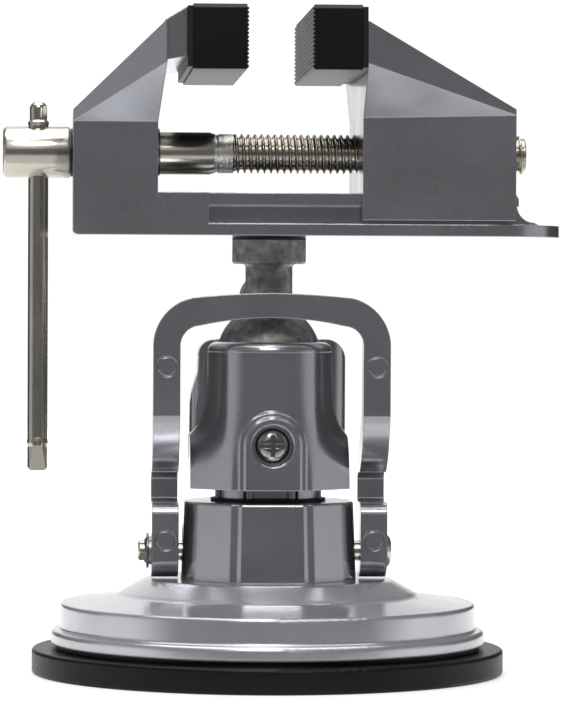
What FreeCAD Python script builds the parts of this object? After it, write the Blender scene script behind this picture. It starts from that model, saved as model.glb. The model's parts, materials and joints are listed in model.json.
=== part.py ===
import FreeCAD, Part
import math
import os
import Sketcher
from FreeCAD import Vector as V, Placement, Rotation

# Small bench vise on a suction base. Millimetres, +Z up, the base's centre at the origin,
# the front of the vise towards -Y and the clamping screw along X.

doc = FreeCAD.newDocument("suction_vise")
sheet = doc.addObject("Spreadsheet::Sheet", "dims")

SIZES = [
    # suction base
    ("pad_radius", 56.6), ("pad_edge_round", 0.9), ("pad_rim_height", 6.0), ("pad_seat_radius", 50.8),
    ("pad_seat_top", 7.0), ("pad_well_radius", 41.0), ("pad_web", 3.0),
    ("plate_radius", 30.0), ("plate_top", 4.6),
    ("cover_radius", 52.0), ("cover_lip_top", 10.6), ("cover_wall_radius", 49.9), ("cover_shoulder_height", 16.4),
    ("cover_brim_radius", 48.9), ("cover_brim_height", 17.0), ("cone_foot_radius", 36.5), ("cone_foot_height", 18.5),
    ("cone_top_radius", 29.3), ("deck_height", 22.7), ("cover_wall", 2.7), ("guide_radius", 10.0), ("guide_bottom", 14.0),
    ("stud_radius", 5.95), ("stud_bore", 6.0), ("stud_tail_radius", 4.0), ("stud_shoulder", 23.6),
    ("eye_half_width", 5.5), ("eye_half_depth", 4.0),
    # pedestal
    ("ped_top", 41.35), ("ped_half_width", 20.2), ("ped_half_depth", 20.5), ("ped_panel_half", 7.2), ("ped_bevel", 0.8),
    ("ped_flank_x", 15.5), ("ped_flank_y", 13.4), ("ped_corner_x", 19.7), ("ped_corner_y", 6.4), ("ped_end_y", 4.2), ("ped_taper", 2.3),
    ("ped_room_x", 8.6), ("ped_room_y", 7.0), ("ped_room_top", 36.8), ("ped_slot_half", 2.75), ("ped_slot_low", 26.2), ("ped_slot_high", 35.9),
    ("ped_screw_x", 13.0), ("ped_screw_y", 8.8), ("ped_screw_radius", 2.0), ("ped_screw_head", 3.6), ("ped_screw_tip", 30.0),
    # lever axle and lever
    ("axle_height", 29.2), ("axle_radius", 2.4), ("axle_bore", 2.45), ("axle_left", 31.2), ("axle_right", 29.5),
    ("axle_head_radius", 4.2), ("axle_clip_radius", 4.2), ("axle_clip_thick", 0.55), ("axle_washer_radius", 3.4), ("axle_washer_thick", 0.55),
    ("lever_half", 28.1), ("lever_inner", 21.7), ("lever_top", 91.1), ("lever_bar", 5.9), ("lever_corner", 9.5), ("lever_drop", 2.4),
    ("lever_front", 16.0), ("lever_thick", 5.2), ("lever_knee", 62.0), ("lever_nose", 48.8), ("lever_shin", 1.5), ("lever_ankle", 46.5), ("lever_step", 41.1),
    ("cam_front", 9.0), ("cam_foot", 27.0), ("cam_radius", 6.2), ("cam_back", 6.2), ("pin_mark_radius", 2.4),
    # swivel joint
    ("swivel_washer_radius", 13.8), ("swivel_washer_top", 42.0), ("boss_radius", 13.3), ("boss_bottom", 42.1), ("socket_bottom", 44.5),
    ("swivel_bolt_radius", 3.0), ("swivel_bore", 3.05), ("swivel_head_radius", 5.5), ("swivel_head_top", 38.95), ("swivel_head_bottom", 37.35), ("swivel_bolt_tip", 50.4),
    ("swivel_recess_radius", 6.0), ("swivel_recess_top", 39.05),
    # ball socket
    ("ball_height", 75.9), ("ball_radius", 12.5), ("socket_radius", 12.55), ("socket_top", 79.4), ("socket_half", 19.0), ("lobe_radius", 14.9), ("lobe_y", 4.7), ("flare_top", 77.15), ("socket_rim", 2.2),
    ("panel_front", 20.9), ("arch_radius", 6.95), ("arch_rim_radius", 8.2), ("arch_rim_front", 20.25), ("clamp_height", 55.05), ("split_front", 2.0), ("split_rear", 2.6),
    ("rear_depth", 16.8), ("rear_bottom", 50.9), ("rear_top", 80.0), ("rear_corner", 4.5), ("sill_top", 50.5),
    ("clamp_bolt_radius", 2.5), ("clamp_bore", 2.55), ("clamp_clear", 2.8), ("clamp_head_radius", 4.1), ("clamp_head_recess", 4.8), ("clamp_bolt_end", 29.6),
    ("handle_hub_radius", 7.2), ("handle_tip_radius", 6.0), ("handle_tip_height", 90.0), ("handle_front", 21.4), ("handle_thick", 4.8), ("hub_front", 17.9), ("hub_back", 27.4),
    # ball stem
    ("neck_radius", 5.65), ("collar_bottom", 98.1), ("collar_radius", 8.85), ("collar_top", 103.8), ("head_washer_top", 104.5),
    ("head_bolt_radius", 3.0), ("head_bore", 3.05), ("head_bolt_tip", 90.0), ("head_cap_radius", 4.9), ("head_cap_bottom", 109.6), ("head_cap_top", 113.9),
    # vise head
    ("rail_bottom", 104.6), ("plate_thick", 2.8), ("web_top", 111.7), ("rail_top", 114.7), ("rail_half", 21.0), ("flange_half", 18.0), ("web_half", 14.6),
    ("head_left", 47.2), ("block_right", 27.3), ("rail_solid_end", 15.4), ("rail_end", 69.6), ("rail_end_radius", 19.0), ("ridge_end_top", 58.1), ("ridge_end_foot", 62.1),
    ("block_top", 131.2), ("jaw_half", 35.0), ("flare_x", 25.6), ("flare_low", 144.4), ("flare_high", 154.3), ("block_end_top", 133.9),
    ("neck_end", 20.9), ("neck_half", 32.6), ("grip_left", 19.6), ("grip_left_face", 6.8), ("grip_right_face", 8.1), ("grip_right", 19.6),
    ("grip_low", 142.8), ("grip_high", 157.9), ("rib_pitch", 0.95), ("rib_depth", 0.35),
    ("jaw_left", 20.9), ("jaw_right", 57.1), ("jaw_bottom", 108.3), ("jaw_top_left", 132.4), ("jaw_top_right", 133.2), ("jaw_end_top", 134.6), ("jaw_flare_low", 144.3), ("jaw_flare_high", 154.2),
    ("channel_half", 18.05), ("channel_top", 114.78), ("lip_top", 111.62), ("lip_half", 15.0),
    # screw
    ("screw_height", 124.5), ("hub_radius", 6.2), ("hub_left", 63.8), ("hub_right", 47.9), ("shank_radius", 5.1), ("shank_bore", 5.15), ("shank_end", 14.3),
    ("relief_radius", 4.72), ("relief_groove", 4.45), ("thread_start", 9.0), ("thread_radius", 4.8), ("thread_bore", 4.86), ("thread_pitch", 1.5875), ("screw_end", 61.6),
    ("thrust_radius", 5.75), ("ring_radius", 5.9), ("ring_groove", 4.5),
    ("bar_x", 55.4), ("bar_radius", 2.4), ("bar_bore", 2.45), ("bar_bottom", 48.4), ("bar_top", 136.6), ("bar_tip", 2.08), ("bar_stake", 2.55),
]
for row, (alias, value) in enumerate(SIZES, 1):
    sheet.set("A%d" % row, alias.replace("_", " "))
    sheet.set("B%d" % row, str(value))
    sheet.setAlias("B%d" % row, alias)
doc.recompute()


class Q:
    """A size with its sheet expression."""

    def __init__(self, v, e):
        self.v, self.e = float(v), e

    def _b(self, o, op, fn, swap=False):
        o = o if isinstance(o, Q) else Q(o, repr(float(o)))
        a, b = (o, self) if swap else (self, o)
        return Q(fn(a.v, b.v), "(%s %s %s)" % (a.e, op, b.e))

    def __add__(self, o): return self._b(o, "+", lambda a, b: a + b)
    def __radd__(self, o): return self._b(o, "+", lambda a, b: a + b, True)
    def __sub__(self, o): return self._b(o, "-", lambda a, b: a - b)
    def __rsub__(self, o): return self._b(o, "-", lambda a, b: a - b, True)
    def __mul__(self, o): return self._b(o, "*", lambda a, b: a * b)
    def __rmul__(self, o): return self._b(o, "*", lambda a, b: a * b, True)
    def __truediv__(self, o): return self._b(o, "/", lambda a, b: a / b)
    def __neg__(self): return Q(-self.v, "(-1 * %s)" % self.e)


class Dims:
    def __getattr__(self, name):
        return Q(sheet.get(name), "dims." + name)


d = Dims()


def num(x):
    return x.v if isinstance(x, Q) else float(x)


def bind(obj, prop, x):
    if isinstance(x, Q):
        setattr(obj, prop, x.v)
        obj.setExpression(prop, x.e)
    else:
        setattr(obj, prop, x)


def new_body(label, place=None):
    b = doc.addObject("PartDesign::Body", label)
    b.Label = label
    b.Placement = place or Placement(V(0, 0, 0), Rotation())
    return b


def origin_plane(body, role):
    for f in body.Origin.OriginFeatures:
        if f.Role == role:
            return f


def sketch(body, name, role, loops, offset=0.0):
    """A sketch on one of the body's origin planes. A loop is a list of (x, y) corners, where
    ("via", x, y) between two corners makes an arc, or one ("circle", x, y, r)."""
    sk = body.newObject("Sketcher::SketchObject", name)
    sk.AttachmentSupport = [(origin_plane(body, role), "")]
    sk.MapMode = "FlatFace"
    if num(offset):
        sk.AttachmentOffset = Placement(V(0, 0, num(offset)), Rotation())
        if isinstance(offset, Q):
            sk.setExpression("AttachmentOffset.Base.z", offset.e)
    todo = []

    def coordinate(kind, geo, pos, x):
        if abs(num(x)) < 1e-9:
            sk.addConstraint(Sketcher.Constraint("PointOnObject", geo, pos, -2 if kind == "DistanceX" else -1))
        else:
            i = sk.addConstraint(Sketcher.Constraint(kind, -1, 1, geo, pos, num(x)))
            if isinstance(x, Q):
                todo.append((i, x.e))

    for loop in loops:
        if loop[0][0] == "circle":
            _, cx, cy, r = loop[0]
            gi = sk.addGeometry(Part.Circle(V(num(cx), num(cy), 0), V(0, 0, 1), num(r)))
            i = sk.addConstraint(Sketcher.Constraint("Radius", gi, num(r)))
            if isinstance(r, Q):
                todo.append((i, r.e))
            coordinate("DistanceX", gi, 3, cx)
            coordinate("DistanceY", gi, 3, cy)
            continue
        corners = [p for p in loop if p[0] != "via"]
        n = len(corners)
        vias, k = {}, -1
        for p in loop:
            if p[0] == "via":
                vias[k] = (num(p[1]), num(p[2]))
            else:
                k += 1
        geo = []
        for k in range(n):
            a, b = corners[k], corners[(k + 1) % n]
            pa, pb = V(num(a[0]), num(a[1]), 0), V(num(b[0]), num(b[1]), 0)
            if k in vias:
                pm = V(vias[k][0], vias[k][1], 0)
                ax, ay, bx, by = pa.x - pm.x, pa.y - pm.y, pb.x - pm.x, pb.y - pm.y
                t = 2 * (ax * by - ay * bx)
                c = V(pm.x + (by * (ax * ax + ay * ay) - ay * (bx * bx + by * by)) / t,
                      pm.y + (ax * (bx * bx + by * by) - bx * (ax * ax + ay * ay)) / t, 0)
                turn = (pm - pa).cross(pb - pm).z
                first, last = (pa, pb) if turn > 0 else (pb, pa)
                a0, a1 = (math.atan2(p.y - c.y, p.x - c.x) for p in (first, last))
                gi = sk.addGeometry(Part.ArcOfCircle(Part.Circle(c, V(0, 0, 1), (pa - c).Length), a0, a1 if a1 > a0 else a1 + 2 * math.pi))
                start = 1 if turn > 0 else 2
                # the centre can only move along the chord's bisector, so one coordinate fixes the arc
                chord = pb - pa
                kind, value = ("DistanceY", c.y) if abs(chord.x) > abs(chord.y) else ("DistanceX", c.x)
                coordinate(kind, gi, 3, value)
                geo.append((gi, start, 3 - start))
            else:
                geo.append((sk.addGeometry(Part.LineSegment(pa, pb)), 1, 2))
        for k in range(n):
            gi, s, e = geo[k]
            gj, s2, _ = geo[(k + 1) % n]
            sk.addConstraint(Sketcher.Constraint("Coincident", gi, e, gj, s2))
            coordinate("DistanceX", gi, s, corners[k][0])
            coordinate("DistanceY", gi, s, corners[k][1])
    if sk.solve() != 0:
        raise RuntimeError("%s doesn't solve: %s %s" % (name, sk.ConflictingConstraints, sk.RedundantConstraints))
    for i, e in todo:
        sk.setExpression("Constraints[%d]" % i, e)
    return sk


def both_sides(f):
    if hasattr(f, "SideType"):
        f.SideType = "Symmetric"
    else:
        f.Midplane = True


def run(body, kind, name, role, loops, length=None, offset=0.0, both=False, reverse=False, taper=None, angle=360.0, axis="V_Axis"):
    """One sketched feature of a body: Pad, Pocket, Revolution or Groove. It must change the volume."""
    before = 0.0
    if body.Tip is not None:
        before = body.Shape.Volume
    sk = sketch(body, name + "_sketch", role, loops, offset)
    f = body.newObject("PartDesign::" + kind, name)
    f.Profile = sk
    if kind in ("Pad", "Pocket"):
        if length is None:
            f.Type = "ThroughAll"
        else:
            bind(f, "Length", length)
        if both:
            both_sides(f)
        f.Reversed = reverse
        if taper is not None:
            bind(f, "TaperAngle", taper)
    else:
        f.ReferenceAxis = (sk, [axis])
        f.Angle = angle
        if both:
            both_sides(f)
    sk.Visibility = False
    doc.recompute()
    change = body.Shape.Volume - before
    if kind in ("Pad", "Revolution") and change <= 0.01 or kind in ("Pocket", "Groove") and change >= -0.01:
        raise RuntimeError("%s of %s changes the volume by %.3f" % (name, body.Label, change))
    return f


def dress(body, kind, name, size, pick):
    """A fillet or chamfer on the edges that pick chooses from the tip's shape."""
    shape = body.Tip.Shape
    names = ["Edge%d" % (i + 1) for i, e in enumerate(shape.Edges) if pick(e)]
    if not names:
        raise RuntimeError("no edges for %s of %s" % (name, body.Label))
    f = body.newObject("PartDesign::" + kind, name)
    f.Base = (body.Tip if body.Tip != f else f.BaseFeature, names)
    if kind == "Fillet":
        bind(f, "Radius", size)
    else:
        bind(f, "Size", size)
    doc.recompute()
    if f.Shape.isNull() or not f.Shape.isValid() or "Invalid" in f.State or "Error" in f.State:
        raise RuntimeError("%s of %s failed" % (name, body.Label))
    return f


def ends(e):
    return [v.Point for v in e.Vertexes]


def along(e, axis, tol=1e-4):
    p = ends(e)
    if len(p) != 2:
        return False
    t = (p[1] - p[0])
    return t.Length > 1e-6 and abs(abs(t.normalize().dot(axis)) - 1) < tol


def flat_z(e, z, tol=1e-3):
    return all(abs(p.z - z) < tol for p in ends(e)) and abs(e.BoundBox.ZMax - z) < tol and abs(e.BoundBox.ZMin - z) < tol


X, Y, Z = V(1, 0, 0), V(0, 1, 0), V(0, 0, 1)
# an axis turned so that a piece built along +Z lies along +X or +Y
TO_X = Rotation(Y, 90)
TO_Y = Rotation(X, -90)


def cyl(name, radius, length, base=(0, 0, 0), rot=None):
    c = doc.addObject("Part::Cylinder", name)
    bind(c, "Radius", radius)
    bind(c, "Height", length)
    c.Placement = Placement(V(*[num(b) for b in base]), rot or Rotation())
    for i, b in enumerate(base):
        if isinstance(b, Q):
            c.setExpression("Placement.Base." + "xyz"[i], b.e)
    return c


def cone(name, r1, r2, length, base, rot):
    c = doc.addObject("Part::Cone", name)
    for prop, x in (("Radius1", r1), ("Radius2", r2), ("Height", length)):
        bind(c, prop, x)
    c.Placement = Placement(V(*[num(b) for b in base]), rot)
    for i, b in enumerate(base):
        if isinstance(b, Q):
            c.setExpression("Placement.Base." + "xyz"[i], b.e)
    return c


def box(name, size, base):
    b = doc.addObject("Part::Box", name)
    for prop, x in zip(("Length", "Width", "Height"), size):
        bind(b, prop, x)
    b.Placement = Placement(V(*[num(x) for x in base]), Rotation())
    for i, x in enumerate(base):
        if isinstance(x, Q):
            b.setExpression("Placement.Base." + "xyz"[i], x.e)
    return b


def fuse(label, parts):
    f = doc.addObject("Part::MultiFuse", label)
    f.Shapes = parts
    f.Label = label
    return f


def cut(label, base, tool):
    f = doc.addObject("Part::Cut", label)
    f.Base, f.Tool = base, tool
    f.Label = label
    return f


def solid_of(faces, label):
    """A closed solid from flat faces given by their corners, for a slanted shape that no sketch plane carries."""
    shell = Part.Shell([Part.Face(Part.makePolygon([V(*p) for p in f] + [V(*f[0])])) for f in faces])
    s = Part.Solid(shell)
    if s.Volume < 0:
        s.reverse()
    o = doc.addObject("Part::Feature", label)
    o.Shape = s
    o.Placement = Placement(V(0, 0, 0), Rotation())
    return o


parts = []


def keep(obj, label):
    obj.Label = label
    parts.append(obj)
    return obj


# ---------------------------------------------------------------- suction base
# rubber disc: flat underside with a small rounded edge, a raised seat for the cover and a thin middle
b = new_body("suction_pad")
run(b, "Revolution", "disc", "XZ_Plane", [[
    (0, 0), (d.pad_radius - d.pad_edge_round, 0), ("via", d.pad_radius - d.pad_edge_round * 0.2929, d.pad_edge_round * 0.2929),
    (d.pad_radius, d.pad_edge_round), (d.pad_radius, d.pad_rim_height - 0.8), ("via", d.pad_radius - 0.25, d.pad_rim_height - 0.25),
    (d.pad_radius - 0.85, d.pad_rim_height), (d.pad_seat_radius, d.pad_rim_height), (d.pad_seat_radius, d.pad_seat_top),
    (d.pad_well_radius + 2.0, d.pad_seat_top), (d.pad_well_radius - 2.0, d.pad_web), (0, d.pad_web)]])
keep(b, "suction_pad")

# steel plate bonded on the rubber, riveted to the pull stud
b = new_body("pad_plate")
run(b, "Pad", "disc", "XY_Plane", [[("circle", 0, 0, d.plate_radius)], [("circle", 0, 0, d.stud_tail_radius)]], d.plate_top - d.pad_web - 0.3, offset=d.pad_web + 0.3)
dress(b, "Chamfer", "rim", 0.4, lambda e: flat_z(e, num(d.plate_top)) and e.BoundBox.XLength > 40)
keep(b, "pad_plate")

# pull stud: shank guided by the cover, flat eye for the lever axle
b = new_body("pull_stud")
run(b, "Revolution", "shank", "XZ_Plane", [[
    (0, d.pad_web + 0.3), (d.stud_tail_radius, d.pad_web + 0.3), (d.stud_tail_radius, d.plate_top), (d.stud_radius + 2.4, d.plate_top),
    (d.stud_radius + 2.4, d.plate_top + 2.0), (d.stud_radius, d.plate_top + 3.2), (d.stud_radius, d.stud_shoulder), (0, d.stud_shoulder)]])
run(b, "Pad", "eye", "YZ_Plane", [[
    (-d.eye_half_depth, d.stud_shoulder - 0.4), (d.eye_half_depth, d.stud_shoulder - 0.4), (d.eye_half_depth, d.axle_height),
    ("via", 0, d.axle_height + d.eye_half_depth), (-d.eye_half_depth, d.axle_height)]], d.eye_half_width * 2, both=True)
run(b, "Pocket", "axle_bore", "YZ_Plane", [[("circle", 0, d.axle_height, d.axle_bore)]], d.eye_half_width * 4, both=True)
keep(b, "pull_stud")

# die-cast cover: lip, wall, broad ring, cone and flat deck, hollow underneath with a guide boss
b = new_body("base_cover")
run(b, "Revolution", "shell", "XZ_Plane", [[
    (d.stud_bore, d.deck_height), (d.stud_bore, d.guide_bottom), (d.guide_radius, d.guide_bottom), (d.guide_radius + 0.5, d.deck_height - d.cover_wall),
    (d.cone_top_radius - 1.0, d.deck_height - d.cover_wall), (d.cone_foot_radius - 1.1, d.cone_foot_height - d.cover_wall),
    (d.cover_brim_radius - 2.6, d.cover_brim_height - d.cover_wall), (d.cover_wall_radius - d.cover_wall, d.pad_seat_top), (d.cover_radius - 0.5, d.pad_seat_top),
    ("via", d.cover_radius - 0.15, d.pad_seat_top + 0.15), (d.cover_radius, d.pad_seat_top + 0.5), (d.cover_radius, d.cover_lip_top - 1.2),
    ("via", d.cover_radius - 0.35, d.cover_lip_top - 0.35), (d.cover_radius - 1.2, d.cover_lip_top), (d.cover_wall_radius + 0.5, d.cover_lip_top),
    ("via", d.cover_wall_radius + 0.14, d.cover_lip_top + 0.16), (d.cover_wall_radius, d.cover_lip_top + 0.6),
    (d.cover_wall_radius - 0.1, d.cover_shoulder_height - 0.3), ("via", d.cover_wall_radius - 0.45, d.cover_shoulder_height + 0.35),
    (d.cover_brim_radius - 0.2, d.cover_brim_height - 0.2), (d.cone_foot_radius + 1.4, d.cone_foot_height - 0.05),
    ("via", d.cone_foot_radius, d.cone_foot_height + 0.25), (d.cone_foot_radius - 1.3, d.cone_foot_height + 1.0),
    (d.cone_top_radius + 0.9, d.deck_height - 0.45), ("via", d.cone_top_radius + 0.1, d.deck_height - 0.08), (d.cone_top_radius - 0.9, d.deck_height)]])
run(b, "Pocket", "screw_holes", "XY_Plane", [[("circle", sx * d.ped_screw_x, sy * d.ped_screw_y, d.ped_screw_radius)] for sx in (1, -1) for sy in (1, -1)], offset=d.deck_height + 1)
keep(b, "base_cover")


# ---------------------------------------------------------------- pedestal
def plinth(half_width, half_depth, panel, bevel, flank_x, flank_y, corner_x, corner_y, end_y):
    """Plan of the pedestal: flat panels front and back, slanted flanks, rounded corners, flat ends."""
    quarter = [(panel, -half_depth), (panel + bevel, -half_depth + bevel), (panel + bevel + 1.7, -half_depth + bevel + 0.75),
               (flank_x, -flank_y), ("via", (flank_x + corner_x) * 0.5 + 0.5, -(flank_y + corner_y) * 0.5 - 0.3), (corner_x, -corner_y), (half_width, -end_y)]
    out = list(quarter)
    for p in reversed(quarter):
        out.append(("via", p[1], -p[2]) if p[0] == "via" else (p[0], -p[1]))
    for p in quarter:
        out.append(("via", -p[1], -p[2]) if p[0] == "via" else (-p[0], -p[1]))
    for p in reversed(quarter):
        out.append(("via", -p[1], p[2]) if p[0] == "via" else (-p[0], p[1]))
    return out


b = new_body("pedestal")
run(b, "Pad", "column", "XY_Plane", [plinth(d.ped_half_width, d.ped_half_depth, d.ped_panel_half, d.ped_bevel, d.ped_flank_x, d.ped_flank_y, d.ped_corner_x, d.ped_corner_y, d.ped_end_y)],
    d.ped_top - d.deck_height, offset=d.ped_top, reverse=True, taper=d.ped_taper)
dress(b, "Fillet", "top_edge", 0.7, lambda e: flat_z(e, num(d.ped_top)))
run(b, "Pocket", "room", "XY_Plane", [[(-d.ped_room_x, -d.ped_room_y), (d.ped_room_x, -d.ped_room_y), (d.ped_room_x, d.ped_room_y), (-d.ped_room_x, d.ped_room_y)]],
    d.ped_room_top - d.deck_height, offset=d.deck_height, reverse=True)
run(b, "Pocket", "axle_slot", "YZ_Plane", [[
    (-d.ped_slot_half, d.ped_slot_low + d.ped_slot_half), ("via", 0, d.ped_slot_low), (d.ped_slot_half, d.ped_slot_low + d.ped_slot_half),
    (d.ped_slot_half, d.ped_slot_high - d.ped_slot_half), ("via", 0, d.ped_slot_high), (-d.ped_slot_half, d.ped_slot_high - d.ped_slot_half)]],
    d.ped_half_width * 3, both=True)
run(b, "Pocket", "head_recess", "XY_Plane", [[("circle", 0, 0, d.swivel_recess_radius)]], d.swivel_recess_top - d.ped_room_top + 1, offset=d.ped_room_top - 1, reverse=True)
run(b, "Pocket", "swivel_bore", "XY_Plane", [[("circle", 0, 0, d.swivel_bore)]], 8.0, offset=d.ped_top + 1)
run(b, "Pocket", "screw_holes", "XY_Plane", [[("circle", sx * d.ped_screw_x, sy * d.ped_screw_y, d.ped_screw_radius)] for sx in (1, -1) for sy in (1, -1)],
    d.ped_screw_tip - d.deck_height, offset=d.deck_height, reverse=True)
keep(b, "pedestal")

# four screws from below, head under the deck
screws = []
for n, (sx, sy) in enumerate([(1, 1), (-1, 1), (-1, -1), (1, -1)]):
    shank = cyl("ped_shank%d" % n, d.ped_screw_radius, d.ped_screw_tip - d.deck_height + d.cover_wall, (sx * d.ped_screw_x, sy * d.ped_screw_y, d.deck_height - d.cover_wall))
    head = cyl("ped_head%d" % n, d.ped_screw_head, 2.2, (sx * d.ped_screw_x, sy * d.ped_screw_y, d.deck_height - d.cover_wall - 2.2))
    one = fuse("ped_solid%d" % n, [shank, head])
    socket = doc.addObject("Part::Prism", "ped_key%d" % n)
    socket.Polygon = 6
    socket.Circumradius = 1.7
    socket.Height = 1.4
    socket.Placement = Placement(V(num(sx * d.ped_screw_x), num(sy * d.ped_screw_y), num(d.deck_height - d.cover_wall - 2.2) - 0.2), Rotation())
    screws.append(cut("ped_screw%d" % n, one, socket))
group = doc.addObject("Part::Compound", "pedestal_screws")
group.Links = screws
keep(group, "pedestal_screws")

# ---------------------------------------------------------------- lever and its axle
b = new_body("lever_axle", Placement(V(0, 0, num(d.axle_height)), Rotation()))
b.setExpression("Placement.Base.z", "dims.axle_height")
run(b, "Revolution", "bolt", "XZ_Plane", [[
    (-d.axle_left, 0), (-d.axle_left, d.axle_radius - 0.4), (-d.axle_left + 0.4, d.axle_radius), (d.lever_half + d.axle_washer_thick * 0.5, d.axle_radius),
    (d.lever_half + d.axle_washer_thick * 0.5, d.axle_head_radius - 0.1), ("via", d.axle_right - 0.1, d.axle_head_radius - 1.0), (d.axle_right, d.axle_radius * 0.6), (d.axle_right, 0)]], axis="H_Axis")
keep(b, "lever_axle")

# dished clip pushed on the axle's end
b = new_body("axle_clip", Placement(V(0, 0, num(d.axle_height)), Rotation()))
b.setExpression("Placement.Base.z", "dims.axle_height")
cx0 = d.lever_half + d.axle_washer_thick
run(b, "Revolution", "disc", "XZ_Plane", [[
    (-cx0, d.axle_radius), (-cx0, d.axle_clip_radius), (-cx0 - d.axle_clip_thick, d.axle_clip_radius), (-cx0 - d.axle_clip_thick, 3.3),
    (-cx0 - d.axle_clip_thick - 0.5, d.axle_radius + 0.3), (-cx0 - d.axle_clip_thick - 0.5, d.axle_radius)]], axis="H_Axis")
keep(b, "axle_clip")

left = cut("axle_washer_left", cyl("wl_out", d.axle_washer_radius, d.axle_washer_thick, (-d.lever_half - d.axle_washer_thick, 0, d.axle_height), TO_X),
           cyl("wl_in", d.axle_radius, d.axle_washer_thick * 3, (-d.lever_half - d.axle_washer_thick * 2, 0, d.axle_height), TO_X))
right = cut("axle_washer_right", cyl("wr_out", d.axle_washer_radius, d.axle_washer_thick * 0.5, (d.lever_half, 0, d.axle_height), TO_X),
            cyl("wr_in", d.axle_radius, d.axle_washer_thick * 3, (d.lever_half - d.axle_washer_thick, 0, d.axle_height), TO_X))
group = doc.addObject("Part::Compound", "axle_washers")
group.Links = [left, right]
keep(group, "axle_washers")

# U-shaped lever with a cam at each foot: side shape first, then the window and the outer corners
b = new_body("suction_lever")
lf, lt = d.lever_front, d.lever_thick
knee, ankle = d.lever_knee, d.lever_ankle
run(b, "Pad", "side_shape", "YZ_Plane", [[
    (-lf, d.lever_top), (-lf, knee), ("via", -12.3, 54.2), (-5.6, d.lever_nose), ("via", -5.0, d.lever_nose - 0.42), (-4.4, d.lever_nose - 0.55),
    (0.2, d.lever_nose - 0.8), (d.lever_shin, ankle), (d.lever_shin, d.lever_step + 0.7), (0.8, d.lever_step),
    (-d.cam_front + 3.0, d.lever_step), ("via", -d.cam_front + 0.88, d.lever_step - 0.88), (-d.cam_front, d.lever_step - 3.0), (-d.cam_front, d.cam_foot),
    ("via", -7.1, d.axle_height - 4.15), (-0.4, d.axle_height - d.cam_radius),
    ("via", 3.75, d.axle_height - 4.93), (d.cam_back, d.axle_height), (d.cam_back, 44.0),
    ("via", d.cam_back - 1.2, 49.4), (1.0, 52.9), (-6.4, 58.8),
    ("via", -9.75, 62.2), (-lf + lt, 66.4), (-lf + lt, d.lever_top)]], d.lever_half * 2, both=True)
# window between the arms, under the slightly arched bar
bar_low = d.lever_top - d.lever_bar
run(b, "Pocket", "window", "XZ_Plane", [[
    (-d.lever_inner, 15.0), (d.lever_inner, 15.0), (d.lever_inner, bar_low - d.lever_drop - 4.0), ("via", d.lever_inner - 1.1, bar_low - d.lever_drop - 1.25),
    (d.lever_inner - 4.6, bar_low - d.lever_drop + 0.5), ("via", 0, bar_low), (-d.lever_inner + 4.6, bar_low - d.lever_drop + 0.5),
    ("via", -d.lever_inner + 1.1, bar_low - d.lever_drop - 1.25), (-d.lever_inner, bar_low - d.lever_drop - 4.0)]], 80.0, both=True)
for n, sx in enumerate((1, -1)):
    out = d.lever_half + 2
    run(b, "Pocket", "corner%d" % n, "XZ_Plane", [[
        (sx * d.lever_half, d.lever_top - d.lever_corner - d.lever_drop), ("via", sx * (d.lever_half - 2.9), d.lever_top - d.lever_drop - 2.55), (sx * (d.lever_half - d.lever_corner), d.lever_top - d.lever_drop + 1.3),
        ("via", sx * 9.4, d.lever_top - 0.36), (0, d.lever_top), (0, d.lever_top + 3), (sx * out, d.lever_top + 3), (sx * out, d.lever_top - d.lever_corner - d.lever_drop)]], 80.0, both=True)
run(b, "Pocket", "axle_hole", "YZ_Plane", [[("circle", 0, d.axle_height, d.axle_radius)]], d.lever_half * 4, both=True)
# shallow rings left by the casting's ejector pins
for n, (mx, mz, face) in enumerate([(-24.9, 73.6, d.lever_front), (24.9, 73.6, d.lever_front), (-24.9, 32.1, d.cam_front), (24.9, 32.1, d.cam_front)]):
    run(b, "Pocket", "pin_mark%d" % n, "XZ_Plane", [[("circle", mx, mz, d.pin_mark_radius)], [("circle", mx, mz, d.pin_mark_radius - 0.22)]], 0.25, offset=face)
keep(b, "suction_lever")

# ---------------------------------------------------------------- swivel joint
b = new_body("swivel_washer")
run(b, "Pad", "ring", "XY_Plane", [[("circle", 0, 0, d.swivel_washer_radius)], [("circle", 0, 0, d.swivel_bolt_radius + 0.3)]], d.swivel_washer_top - d.ped_top, offset=d.ped_top)
keep(b, "swivel_washer")

b = new_body("swivel_bolt")
run(b, "Revolution", "bolt", "XZ_Plane", [[
    (0, d.swivel_head_bottom), (d.swivel_head_radius - 0.5, d.swivel_head_bottom), (d.swivel_head_radius, d.swivel_head_bottom + 0.5), (d.swivel_head_radius, d.swivel_head_top),
    (d.swivel_bolt_radius, d.swivel_head_top), (d.swivel_bolt_radius, d.swivel_bolt_tip - 0.6), (d.swivel_bolt_radius - 0.6, d.swivel_bolt_tip), (0, d.swivel_bolt_tip)]])
hexagon = [(2.3 * math.cos(math.radians(60 * k)), 2.3 * math.sin(math.radians(60 * k))) for k in range(6)]
run(b, "Pocket", "key", "XY_Plane", [hexagon], 1.0, offset=d.swivel_head_bottom, reverse=True)
keep(b, "swivel_bolt")

# ---------------------------------------------------------------- ball socket
# front half: a foot with slanted flanks that sweeps up into a round column, with an arched panel for the clamp bolt
FOOT = [(0, -19.75), (3.4, -19.75), (6.9, -19.7), (9.0, -19.25), (10.6, -18.1), (14.4, -14.25), (18.9, -9.65), (22.3, -6.2), (25.6, -2.6), (28.4, 2.0)]
TURN = [0, 13, 26, 39, 52, 65, 78, 91, 104, 116.72]


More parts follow.
